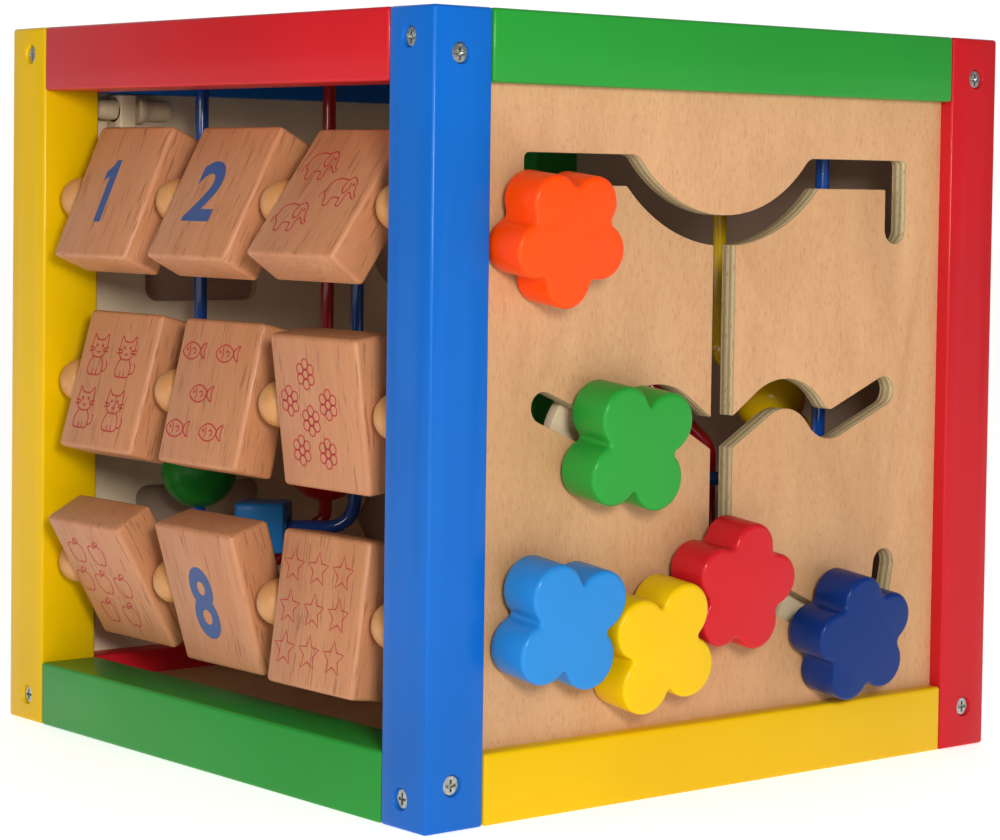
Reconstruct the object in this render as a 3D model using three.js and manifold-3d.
// Wooden activity cube with a shape sorter wall, a maze of sliding flower knobs,
// three rows of turning tiles and a bead maze inside. Millimetres, +Z up.
// The slot maze faces -Y, the tiles face -X, the sorter wall is at +Y and the +X side is open.

import * as THREE from 'three';
import { mergeVertices } from 'three/addons/utils/BufferGeometryUtils.js';
import Module from 'manifold-3d';

const wasm = await Module();
wasm.setup();

// ---------------------------------------------------------------- driving dimensions
const CUBE = 300; // edge over the posts
const BAR = 27; // square section of the posts and rails
const BAR_EDGE = 2; // eased edge of every bar
const GAP = 0.3; // clearance between pieces that touch
const PLY = 8; // plywood thickness
const WALL_RECESS = 6.5; // wall panels sit this far behind the frame's faces
const LID_RECESS = 9; // top and floor panels, likewise
const GROOVE = 5; // depth of a panel's edge in the bars

const SLOT_WIDTH = 12;
const SORTER_HOLE = 59;
const SORTER_HOLE_X = 61.5; // the holes lie left and right of the middle by this much
const SORTER_ROWS = [211, 77]; // heights of the upper and lower holes
const TRIANGLE_RADIUS = 44; // from the middle to a corner, before the corners are rounded
const HEXAGON_RADIUS = 35;
const HOLE_CORNER = 6;
const HEXAGON_CORNER = 2;

const TILE = { width: 56, height: 59.6, thick: 19, edge: 2 };
const TILE_ROWS = [227, 149, 71]; // heights of the three dowels
const TILE_PITCH = 75.5;
const TILE_TILTS = [[23.2, 27.7, 35.5], [15.5, 13.2, -7.4], [-29.3, -16.4, 7.5]]; // degrees
const DOWEL_RADIUS = 4;
const DOWEL_BORE = 4.6;
const DOWEL_SOCKET = 12; // depth of the dowel's blind hole in each post
const SPACER_RADIUS = 9.3;

const KNOB_THICK = 19;
const KNOB_EDGE = 1.4;
const KNOB_TO_PANEL = 3.4; // room for the knob's sagging lower edge
const KNOB_SAG = 6; // degrees a knob hangs forward on its loose peg
const PEG_RADIUS = 4.8;
const DISC_RADIUS = 19; // retaining disc behind the slot panel
const DISC_THICK = 5;
const DISC_TO_PANEL = 2.6;

const WIRE_RADIUS = 3;
const WIRE_BORE = 3.9;
const WIRE_SOCKET = 5; // depth of a wire's end in the top or floor panel

const SCREW_HEAD = 4; // radius of the countersink
const SCREW_SINK = 1.6;

// The origin is the middle of the whole footprint, knobs and tiles included, at floor level.
const ORIGIN_SHIFT = new THREE.Vector3(5.8, 9.3, 0);

// ---------------------------------------------------------------- derived places
const HALF = CUBE / 2;
const BAR_MID = HALF - BAR / 2;
const INNER = HALF - BAR; // half the clear opening between posts
const RAIL_LENGTH = 2 * INNER - 2 * GAP;
const PANEL_EDGE = 2 * (INNER + GROOVE);
const WALL_FRONT = HALF - WALL_RECESS; // outer surface of a wall panel
const WALL_MID = WALL_FRONT - PLY / 2;
const WALL_BACK = WALL_FRONT - PLY;
const FLOOR_TOP = LID_RECESS + PLY;
const LID_UNDER = CUBE - LID_RECESS - PLY;
const AXLE_X = -BAR_MID;
const SLOT_HALF = SLOT_WIDTH / 2;

// ---------------------------------------------------------------- helpers
const toy = new THREE.Group();
toy.position.copy(ORIGIN_SHIFT);

function paint(color, roughness = 0.3) {
  return new THREE.MeshStandardMaterial({ color, roughness, metalness: 0 });
}

const PAINTS = {
  yellow: paint(0xe8c000),
  blue: paint(0x0d6ec8),
  red: paint(0xc81e26),
  green: paint(0x2da032),
  orange: paint(0xff4800),
  sky: paint(0x2f8ed6),
  navy: paint(0x12377d),
  plywood: paint(0xd4a573, 0.6),
  beech: paint(0xc98e62, 0.55),
  birch: paint(0xd9b583, 0.45),
};

function addPart(name, geometry, material, parent = toy) {
  const mesh = new THREE.Mesh(geometry, material);
  mesh.name = name;
  parent.add(mesh);
  return mesh;
}

function solidOf(geometry) {
  const bare = geometry.clone();
  bare.deleteAttribute('normal');
  bare.deleteAttribute('uv');
  const merged = mergeVertices(bare, 1e-4);
  return new wasm.Manifold(new wasm.Mesh({
    numProp: 3,
    vertProperties: new Float32Array(merged.attributes.position.array),
    triVerts: new Uint32Array(merged.index.array),
  }));
}

function geometryOf(solid) {
  const { vertProperties, triVerts } = solid.getMesh();
  const geometry = new THREE.BufferGeometry();
  geometry.setAttribute('position', new THREE.BufferAttribute(new Float32Array(vertProperties), 3));
  geometry.setIndex(new THREE.BufferAttribute(new Uint32Array(triVerts), 1));
  return geometry;
}

function cut(geometry, cutters) {
  let solid = solidOf(geometry);
  for (const cutter of cutters) solid = solid.subtract(solidOf(cutter));
  return geometryOf(solid);
}

function join(geometry, additions) {
  let solid = solidOf(geometry);
  for (const addition of additions) solid = solid.add(solidOf(addition));
  return geometryOf(solid);
}

function boxAt(min, max) {
  const size = new THREE.Vector3().subVectors(max, min);
  const middle = new THREE.Vector3().addVectors(min, max).multiplyScalar(0.5);
  return new THREE.BoxGeometry(size.x, size.y, size.z).translate(middle.x, middle.y, middle.z);
}

// A closed round bar from one point to another.
function rodBetween(start, end, radius, sides = 12) {
  const along = new THREE.Vector3().subVectors(end, start);
  const direction = along.clone().normalize();
  const turn = new THREE.Quaternion().setFromUnitVectors(new THREE.Vector3(0, 1, 0), direction);
  const middle = new THREE.Vector3().addVectors(start, end).multiplyScalar(0.5);
  return new THREE.CylinderGeometry(radius, radius, along.length(), sides)
    .applyQuaternion(turn)
    .translate(middle.x, middle.y, middle.z);
}

function roundedRectangle(width, height, radius) {
  const x = width / 2 - radius;
  const y = height / 2 - radius;
  const shape = new THREE.Shape();
  shape.absarc(x, y, radius, 0, Math.PI / 2);
  shape.absarc(-x, y, radius, Math.PI / 2, Math.PI);
  shape.absarc(-x, -y, radius, Math.PI, 1.5 * Math.PI);
  shape.absarc(x, -y, radius, 1.5 * Math.PI, 2 * Math.PI);
  return shape;
}

// A block with eased edges all round, centred on the origin, its thickness along Z.
function easedBlock(width, height, thick, edge) {
  const shape = roundedRectangle(width - edge, height - edge, edge / 2);
  const geometry = new THREE.ExtrudeGeometry(shape, {
    depth: thick - edge,
    bevelThickness: edge / 2,
    bevelSize: edge / 2,
    bevelSegments: 1,
    curveSegments: 1,
  });
  return geometry.translate(0, 0, -(thick - edge) / 2);
}

// ---------------------------------------------------------------- plywood panels
const wallMin = new THREE.Vector3(-PANEL_EDGE / 2, WALL_BACK, BAR - GROOVE);
const wallMax = new THREE.Vector3(PANEL_EDGE / 2, WALL_FRONT, CUBE - BAR + GROOVE);

const panelBoxes = {
  slot_panel: [
    new THREE.Vector3(wallMin.x, -wallMax.y, wallMin.z),
    new THREE.Vector3(wallMax.x, -wallMin.y, wallMax.z),
  ],
  sorter_panel: [wallMin, wallMax],
  floor_panel: [
    new THREE.Vector3(-PANEL_EDGE / 2, -PANEL_EDGE / 2, LID_RECESS),
    new THREE.Vector3(PANEL_EDGE / 2, PANEL_EDGE / 2, LID_RECESS + PLY),
  ],
  top_panel: [
    new THREE.Vector3(-PANEL_EDGE / 2, -PANEL_EDGE / 2, LID_UNDER),
    new THREE.Vector3(PANEL_EDGE / 2, PANEL_EDGE / 2, LID_UNDER + PLY),
  ],
};

const panelGrooves = Object.values(panelBoxes).map(([min, max]) => (
  boxAt(min.clone().subScalar(GAP), max.clone().addScalar(GAP))
));

// ---------------------------------------------------------------- slot centre lines
// A path is a list of corners [x, z, fillet radius]; the fillets are true arcs.
const FILLET_STEP = 12; // degrees of arc for each segment

function filletCorner(previous, corner, next) {
  const tip = new THREE.Vector2(corner[0], corner[1]);
  const radius = corner[2] ?? 0;
  if (!radius) return [tip];
  const before = new THREE.Vector2(previous[0], previous[1]).sub(tip).normalize();
  const after = new THREE.Vector2(next[0], next[1]).sub(tip).normalize();
  const halfAngle = Math.acos(before.dot(after)) / 2;
  const centre = before.clone().add(after).setLength(radius / Math.sin(halfAngle)).add(tip);
  const start = before.clone().multiplyScalar(radius / Math.tan(halfAngle)).add(tip).sub(centre);
  const turn = -Math.sign(before.cross(after)) * (Math.PI - 2 * halfAngle);
  const steps = Math.max(2, Math.ceil(THREE.MathUtils.radToDeg(Math.abs(turn)) / FILLET_STEP));
  return Array.from({ length: steps + 1 }, (_, k) => (
    start.clone().rotateAround(new THREE.Vector2(), turn * (k / steps)).add(centre)
  ));
}

function filletedPath(corners) {
  return corners.flatMap((corner, i) => filletCorner(corners[i - 1], corner, corners[i + 1]));
}

function filletedRing(corners) {
  const count = corners.length;
  return corners.flatMap((corner, i) => (
    filletCorner(corners[(i + count - 1) % count], corner, corners[(i + 1) % count])
  ));
}

function mirrored(corners) {
  const left = corners.slice(1).reverse().map(([x, z, radius]) => [-x, z, radius]);
  return [...left, ...corners];
}

// The outline of a cutter of SLOT_WIDTH run along a centre line, with round ends.
function slotOutline(points) {
  const normals = points.map((point, i) => {
    const before = points[Math.max(i - 1, 0)];
    const after = points[Math.min(i + 1, points.length - 1)];
    return after.clone().sub(before).normalize().rotateAround(new THREE.Vector2(), Math.PI / 2);
  });
  const outline = points.map((point, i) => point.clone().addScaledVector(normals[i], -SLOT_HALF));
  const capSteps = 6;
  const cap = (centre, normal) => {
    for (let k = 1; k < capSteps; k += 1) {
      const spoke = normal.clone().rotateAround(new THREE.Vector2(), Math.PI * (k / capSteps));
      outline.push(centre.clone().addScaledVector(spoke, SLOT_HALF));
    }
  };
  cap(points.at(-1), normals.at(-1).clone().negate());
  for (let i = points.length - 1; i >= 0; i -= 1) {
    outline.push(points[i].clone().addScaledVector(normals[i], SLOT_HALF));
  }
  cap(points[0], normals[0].clone());
  return new THREE.Shape(outline);
}

const TOP_RUN = 242; // height of the top slot's level runs
const LEG_X = 96.4;
const LEG_END = 219.6;
const BOWL = { radius: 63.5, centre: 282.5 }; // the top slot's hanging arc
const bowlReach = Math.sqrt(BOWL.radius ** 2 - (BOWL.centre - TOP_RUN) ** 2);
const bowlAngle = Math.asin(bowlReach / BOWL.radius);
const BOWL_STEPS = 12;
const bowl = Array.from({ length: BOWL_STEPS + 1 }, (_, k) => {
  const angle = bowlAngle * ((2 * k) / BOWL_STEPS - 1);
  return new THREE.Vector2(BOWL.radius * Math.sin(angle), BOWL.centre - BOWL.radius * Math.cos(angle));
});

// The wavy slots from the middle outwards; each is mirrored to the other side.
const WAVE = [[0, 135.6], [38.9, 160.5, 22], [57.6, 138.3, 10], [91.5, 152.7]];
const LOOP = [[0, 86, 18], [73, 51.5, 16], [91.5, 70], [93.3, 81]];

const slotPaths = [
  bowl,
  filletedPath([[-LEG_X, TOP_RUN], [-bowlReach, TOP_RUN]]),
  filletedPath([[bowlReach, TOP_RUN], [LEG_X, TOP_RUN]]),
  filletedPath([[-LEG_X, TOP_RUN], [-LEG_X, LEG_END]]),
  filletedPath([[LEG_X, TOP_RUN], [LEG_X, LEG_END]]),
  filletedPath(mirrored(WAVE)),
  filletedPath(mirrored(LOOP)),
  filletedPath([[0, BOWL.centre - BOWL.radius], [0, LOOP[0][1] - 2]]),
];

const slotCutters = slotPaths.map((path) => (
  new THREE.ExtrudeGeometry(slotOutline(path), { depth: 3 * PLY, bevelEnabled: false, curveSegments: 6 })
    .translate(0, 0, -1.5 * PLY)
    .rotateX(Math.PI / 2)
    .translate(0, -WALL_MID, 0)
));
addPart('slot_panel', cut(boxAt(...panelBoxes.slot_panel), slotCutters), PAINTS.plywood);

// ---------------------------------------------------------------- sorter wall
function polygonShape(sides, radius, firstCorner, cornerRadius = HOLE_CORNER) {
  const corners = Array.from({ length: sides }, (_, k) => {
    const angle = THREE.MathUtils.degToRad(firstCorner + (360 * k) / sides);
    return [radius * Math.cos(angle), radius * Math.sin(angle), cornerRadius];
  });
  return new THREE.Shape(filletedRing(corners));
}

const roundHole = new THREE.Shape().absarc(0, 0, SORTER_HOLE / 2, 0, 2 * Math.PI);
const sorterHoles = [
  { x: -SORTER_HOLE_X, z: SORTER_ROWS[0], shape: polygonShape(4, SORTER_HOLE / Math.SQRT2, 45) },
  { x: SORTER_HOLE_X, z: SORTER_ROWS[0], shape: roundHole },
  { x: -SORTER_HOLE_X, z: SORTER_ROWS[1], shape: polygonShape(3, TRIANGLE_RADIUS, -90) },
  { x: SORTER_HOLE_X, z: SORTER_ROWS[1], shape: polygonShape(6, HEXAGON_RADIUS, 0, HEXAGON_CORNER) },
];
const sorterCutters = sorterHoles.map(({ x, z, shape }) => (
  new THREE.ExtrudeGeometry(shape, { depth: 3 * PLY, bevelEnabled: false, curveSegments: 8 })
    .translate(0, 0, -1.5 * PLY)
    .rotateX(Math.PI / 2)
    .translate(x, WALL_MID, z)
));

// The latch's guide block is glued to the inside of the sorter panel.
const BOLT = { x: -122.5, y: 129.2, z: 266, radius: 4.5, length: 38 };
const COLLAR = { radius: 5.9, from: 21, to: 25 }; // distances from the bolt's tip
const BOLT_PLAY = 0.6;
const GUIDE = {
  min: new THREE.Vector3(-112, 123.2, 258),
  max: new THREE.Vector3(-104, WALL_BACK + 1, 272.5),
};
const boltBore = rodBetween(
  new THREE.Vector3(GUIDE.min.x - 2, BOLT.y, BOLT.z),
  new THREE.Vector3(GUIDE.max.x + 2, BOLT.y, BOLT.z),
  BOLT.radius + BOLT_PLAY,
  16,
);
const sorterBoard = join(cut(boxAt(...panelBoxes.sorter_panel), sorterCutters), [
  cut(boxAt(GUIDE.min, GUIDE.max), [boltBore]),
]);
addPart('sorter_panel', sorterBoard, PAINTS.plywood);

// The bolt lies along X with a domed end towards the post; its profile is [radius, distance].
const DOME_STEPS = 4;
const dome = Array.from({ length: DOME_STEPS + 1 }, (_, k) => {
  const angle = (Math.PI / 2) * (k / DOME_STEPS);
  return new THREE.Vector2(BOLT.radius * Math.sin(angle), BOLT.radius * (1 - Math.cos(angle)));
});
const boltProfile = [
  ...dome,
  new THREE.Vector2(BOLT.radius, COLLAR.from),
  new THREE.Vector2(COLLAR.radius, COLLAR.from),
  new THREE.Vector2(COLLAR.radius, COLLAR.to),
  new THREE.Vector2(BOLT.radius, COLLAR.to),
  new THREE.Vector2(BOLT.radius, BOLT.length),
  new THREE.Vector2(0, BOLT.length),
];
const bolt = addPart('latch_bolt', new THREE.LatheGeometry(boltProfile, 14), PAINTS.birch);
bolt.rotation.z = -Math.PI / 2;
bolt.position.set(BOLT.x, BOLT.y, BOLT.z);

// ---------------------------------------------------------------- bead maze routes
// Each wire is a list of corners [x, y, z, bend radius] from panel to panel.
const TOP_END = LID_UNDER + WIRE_SOCKET;
const FLOOR_END = FLOOR_TOP - WIRE_SOCKET;
const wires = {
  blue_wire: {
    material: PAINTS.blue,
    corners: [
      [-82, 105, TOP_END], [-82, 105, 84, 7], [-32.8, 55.8, 84, 14], [-32.8, 55.8, 226, 16],
      [5, 12, 226, 16], [5, 12, 112, 16], [85, -112, 112, 16], [85, -112, TOP_END],
    ],
  },
  red_wire: {
    material: PAINTS.red,
    corners: [
      [-28, 85, TOP_END], [-28, 85, 86, 7], [-50, 101, 62, 12], [-50, 101, 40, 12],
      [22, 20, 40, 14], [44, -34, 162, 14], [73, -58, 124, 12], [73, -58, FLOOR_END],
    ],
  },
  yellow_wire: {
    material: PAINTS.yellow,
    corners: [[64, -72, TOP_END], [64, -72, 164, 10], [112, -79, 132, 10], [112, -79, FLOOR_END]],
  },
};

function bentRoute(corners) {
  const points = corners.map(([x, y, z]) => new THREE.Vector3(x, y, z));
  const route = new THREE.CurvePath();
  let from = points[0];
  for (let i = 1; i < points.length - 1; i += 1) {
    const before = points[i - 1].clone().sub(points[i]).normalize();
    const after = points[i + 1].clone().sub(points[i]).normalize();
    const reach = corners[i][3] / Math.tan(before.angleTo(after) / 2);
    const start = points[i].clone().addScaledVector(before, reach);
    const end = points[i].clone().addScaledVector(after, reach);
    route.add(new THREE.LineCurve3(from, start));
    route.add(new THREE.QuadraticBezierCurve3(start, points[i], end));
    from = end;
  }
  route.add(new THREE.LineCurve3(from, points.at(-1)));
  return route;
}

const WIRE_SIDES = 8;
const WIRE_STEP = 12; // length of one segment of a wire
const wireSection = new THREE.Shape(Array.from({ length: WIRE_SIDES }, (_, k) => {
  const angle = (2 * Math.PI * k) / WIRE_SIDES;
  return new THREE.Vector2(WIRE_RADIUS * Math.cos(angle), WIRE_RADIUS * Math.sin(angle));
}));

for (const [name, { corners, material }] of Object.entries(wires)) {
  const route = bentRoute(corners);
  const steps = Math.round(route.getLength() / WIRE_STEP);
  addPart(name, new THREE.ExtrudeGeometry(wireSection, { extrudePath: route, steps }), material);
}

const SOCKET_RADIUS = WIRE_RADIUS + 0.4;
const SOCKET_SIDES = 14;
const wireSockets = Object.values(wires).flatMap(({ corners }) => [corners[0], corners.at(-1)]
  .map(([x, y, z]) => {
    const outward = z > HALF ? 1 : -1;
    const deep = new THREE.Vector3(x, y, z + outward * GAP);
    const mouth = new THREE.Vector3(x, y, z - outward * 3 * WIRE_SOCKET);
    return rodBetween(deep, mouth, SOCKET_RADIUS, SOCKET_SIDES);
  }));
addPart('top_panel', cut(boxAt(...panelBoxes.top_panel), wireSockets), PAINTS.plywood);
addPart('floor_panel', cut(boxAt(...panelBoxes.floor_panel), wireSockets), PAINTS.plywood);

// ---------------------------------------------------------------- wire beads
// A round bead bored through along Z: the profile runs round its wall and closes on itself.
function boredBall(radius, bore, rings = 8, sides = 16) {
  const rim = Math.acos(bore / radius);
  const wall = Array.from({ length: rings + 1 }, (_, k) => {
    const angle = rim * ((2 * k) / rings - 1);
    return new THREE.Vector2(radius * Math.cos(angle), radius * Math.sin(angle));
  });
  return new THREE.LatheGeometry([...wall, wall[0].clone()], sides).rotateX(Math.PI / 2);
}

const balls = {
  green_bead: { at: [-82, 105, 108], radius: 16.5, material: PAINTS.green },
  red_bead: { at: [-28, 85, 110.5], radius: 17.5, material: PAINTS.red },
  yellow_bead: { at: [91.4, -76, 145.7], radius: 15.5, material: PAINTS.yellow, along: [48, -7, -32] },
};
for (const [name, { at, radius, material, along }] of Object.entries(balls)) {
  const bead = addPart(name, boredBall(radius, WIRE_BORE), material);
  bead.position.set(...at);
  if (along) {
    const direction = new THREE.Vector3(...along).normalize();
    bead.quaternion.setFromUnitVectors(new THREE.Vector3(0, 0, 1), direction);
  }
}

const CUBE_BEAD = 22;
const CUBE_BEAD_EDGE = 2;
const beadBore = rodBetween(
  new THREE.Vector3(0, 0, -CUBE_BEAD),
  new THREE.Vector3(0, 0, CUBE_BEAD),
  WIRE_BORE,
);
const beadBlock = easedBlock(CUBE_BEAD, CUBE_BEAD, CUBE_BEAD, CUBE_BEAD_EDGE);
const cubeBead = addPart('cube_bead', cut(beadBlock, [beadBore]), PAINTS.sky);
cubeBead.position.set(-61.5, 84.5, 84);
cubeBead.rotation.set(Math.PI / 2, 0, Math.PI / 4, 'ZXY');

// ---------------------------------------------------------------- frame bars
function bar(length) {
  return easedBlock(BAR, BAR, length, BAR_EDGE);
}

const axles = TILE_ROWS.map((z) => rodBetween(
  new THREE.Vector3(AXLE_X, -INNER - DOWEL_SOCKET + 1, z),
  new THREE.Vector3(AXLE_X, INNER + DOWEL_SOCKET - 1, z),
  DOWEL_RADIUS,
));
const axleSockets = TILE_ROWS.map((z) => rodBetween(
  new THREE.Vector3(AXLE_X, -INNER - DOWEL_SOCKET, z),
  new THREE.Vector3(AXLE_X, INNER + DOWEL_SOCKET, z),
  DOWEL_RADIUS + 2 * GAP,
));

// Countersunk screws: two near each end of a post, on its two outer faces.
const SCREW_ON_X_FACE = { along: 15, up: 11.2 }; // from the post's outer edge and from its end
const SCREW_ON_Y_FACE = { along: 12.5, up: 17 };

function countersink(face, along, z, sideX, sideY) {
  const outside = HALF + 1;
  const inside = HALF - SCREW_SINK;
  const at = (depth) => (face === 'x'
    ? new THREE.Vector3(sideX * depth, sideY * (HALF - along), z)
    : new THREE.Vector3(sideX * (HALF - along), sideY * depth, z));
  return rodBetween(at(inside), at(outside), SCREW_HEAD, 14);
}

const posts = [
  ['post_blue', -1, -1, PAINTS.blue],
  ['post_red', 1, -1, PAINTS.red],
  ['post_yellow', -1, 1, PAINTS.yellow],
  ['post_green', 1, 1, PAINTS.green],
];
for (const [name, sideX, sideY, material] of posts) {
  const sinks = [SCREW_ON_X_FACE.up, CUBE - SCREW_ON_X_FACE.up]
    .map((z) => countersink('x', SCREW_ON_X_FACE.along, z, sideX, sideY))
    .concat([SCREW_ON_Y_FACE.up, CUBE - SCREW_ON_Y_FACE.up]
      .map((z) => countersink('y', SCREW_ON_Y_FACE.along, z, sideX, sideY)));
  const post = bar(CUBE).translate(sideX * BAR_MID, sideY * BAR_MID, HALF);
  addPart(name, cut(post, [...panelGrooves, ...axleSockets, ...sinks]), material);
}

const rails = [
  ['rail_tiles_top', 'x', -1, 1, PAINTS.red],
  ['rail_tiles_bottom', 'x', -1, -1, PAINTS.green],
  ['rail_slots_top', 'y', -1, 1, PAINTS.green],
  ['rail_slots_bottom', 'y', -1, -1, PAINTS.yellow],
  ['rail_sorter_top', 'y', 1, 1, PAINTS.blue],
  ['rail_sorter_bottom', 'y', 1, -1, PAINTS.red],
  ['rail_open_top', 'x', 1, 1, PAINTS.yellow],
  ['rail_open_bottom', 'x', 1, -1, PAINTS.blue],
];
for (const [name, faces, side, level, material] of rails) {
  const rail = bar(RAIL_LENGTH).rotateX(Math.PI / 2);
  if (faces === 'y') rail.rotateZ(Math.PI / 2);
  const middle = side * BAR_MID;
  rail.translate(faces === 'x' ? middle : 0, faces === 'y' ? middle : 0, HALF + level * BAR_MID);
  addPart(name, cut(rail, panelGrooves), material);
}

// ---------------------------------------------------------------- turning tiles
const tileBore = rodBetween(
  new THREE.Vector3(0, -TILE.width, 0),
  new THREE.Vector3(0, TILE.width, 0),
  DOWEL_BORE,
);
TILE_ROWS.forEach((z, row) => {
  addPart(`tile_dowel_${row + 1}`, axles[row], PAINTS.birch);
  for (let column = 0; column < 3; column += 1) {
    const block = easedBlock(TILE.thick, TILE.height, TILE.width, TILE.edge).rotateX(Math.PI / 2);
    const tile = addPart(`tile_${3 * row + column + 1}`, cut(block, [tileBore]), PAINTS.beech);
    tile.position.set(AXLE_X, (1 - column) * TILE_PITCH, z);
    tile.rotation.y = THREE.MathUtils.degToRad(TILE_TILTS[row][column]);
  }
  for (let place = 0; place < 4; place += 1) {
    const spacer = boredBall(SPACER_RADIUS, DOWEL_BORE, 6, 12).rotateX(Math.PI / 2);
    const ball = addPart(`spacer_${4 * row + place + 1}`, spacer, PAINTS.birch);
    ball.position.set(AXLE_X, (1.5 - place) * TILE_PITCH, z);
  }
});

// ---------------------------------------------------------------- flower knobs
// Petals are arcs, and each hollow between two petals is a smaller arc touching both.
const FLOWERS = {
  4: { petal: 11.7, reach: 15.6, hollow: 1.5 },
  5: { petal: 10.3, reach: 15.9, hollow: 3 },
};

function flowerShape(petals, firstPetal) {
  const { petal, reach, hollow } = FLOWERS[petals];
  const half = Math.PI / petals;
  const hollowAt = reach * Math.cos(half)
    + Math.sqrt((petal + hollow) ** 2 - (reach * Math.sin(half)) ** 2);
  const meet = Math.atan2(hollowAt * Math.sin(half), hollowAt * Math.cos(half) - reach);
  const shape = new THREE.Shape();
  for (let k = 0; k < petals; k += 1) {
    const angle = THREE.MathUtils.degToRad(firstPetal) + 2 * half * k;
    const gapAngle = angle + half;
    shape.absarc(reach * Math.cos(angle), reach * Math.sin(angle), petal, angle - meet, angle + meet);
    const turn = Math.PI - (meet - half);
    shape.absarc(
      hollowAt * Math.cos(gapAngle),
      hollowAt * Math.sin(gapAngle),
      hollow,
      gapAngle - turn,
      gapAngle + turn,
      true,
    );
  }
  return shape;
}

const sliders = [
  { color: 'orange', petals: 5, first: -91, at: [-LEG_X, LEG_END - 0.4] },
  { color: 'green', petals: 4, first: 37, at: [-60.6, 140] },
  { color: 'sky', petals: 4, first: 35, at: [-93, 75.5] },
  { color: 'yellow', petals: 4, first: 57.4, at: [-47.2, 63.4] },
  { color: 'red', petals: 5, first: 82, at: [-5.6, 82.7] },
  { color: 'navy', petals: 5, first: 29, at: [61.4, 57.4] },
];

for (const { color, petals, first, at } of sliders) {
  const slider = new THREE.Group();
  slider.position.set(at[0], -WALL_MID, at[1]);
  slider.rotation.x = THREE.MathUtils.degToRad(KNOB_SAG);
  toy.add(slider);
  const knobBack = -PLY / 2 - KNOB_TO_PANEL;
  const discFront = PLY / 2 + DISC_TO_PANEL;
  const knob = new THREE.ExtrudeGeometry(flowerShape(petals, first), {
    depth: KNOB_THICK - 2 * KNOB_EDGE,
    bevelThickness: KNOB_EDGE,
    bevelSize: KNOB_EDGE,
    bevelOffset: -KNOB_EDGE,
    bevelSegments: 1,
    curveSegments: 3,
  }).rotateX(Math.PI / 2).translate(0, knobBack - KNOB_EDGE, 0);
  addPart(`knob_${color}`, knob, PAINTS[color], slider);
  const pegProfile = [
    new THREE.Vector2(0, knobBack + GAP),
    new THREE.Vector2(PEG_RADIUS, knobBack + GAP),
    new THREE.Vector2(PEG_RADIUS, discFront),
    new THREE.Vector2(DISC_RADIUS, discFront),
    new THREE.Vector2(DISC_RADIUS, discFront + DISC_THICK),
    new THREE.Vector2(0, discFront + DISC_THICK),
  ];
  addPart(`peg_${color}`, new THREE.LatheGeometry(pegProfile, 16), PAINTS.birch, slider);
}

export default toy;
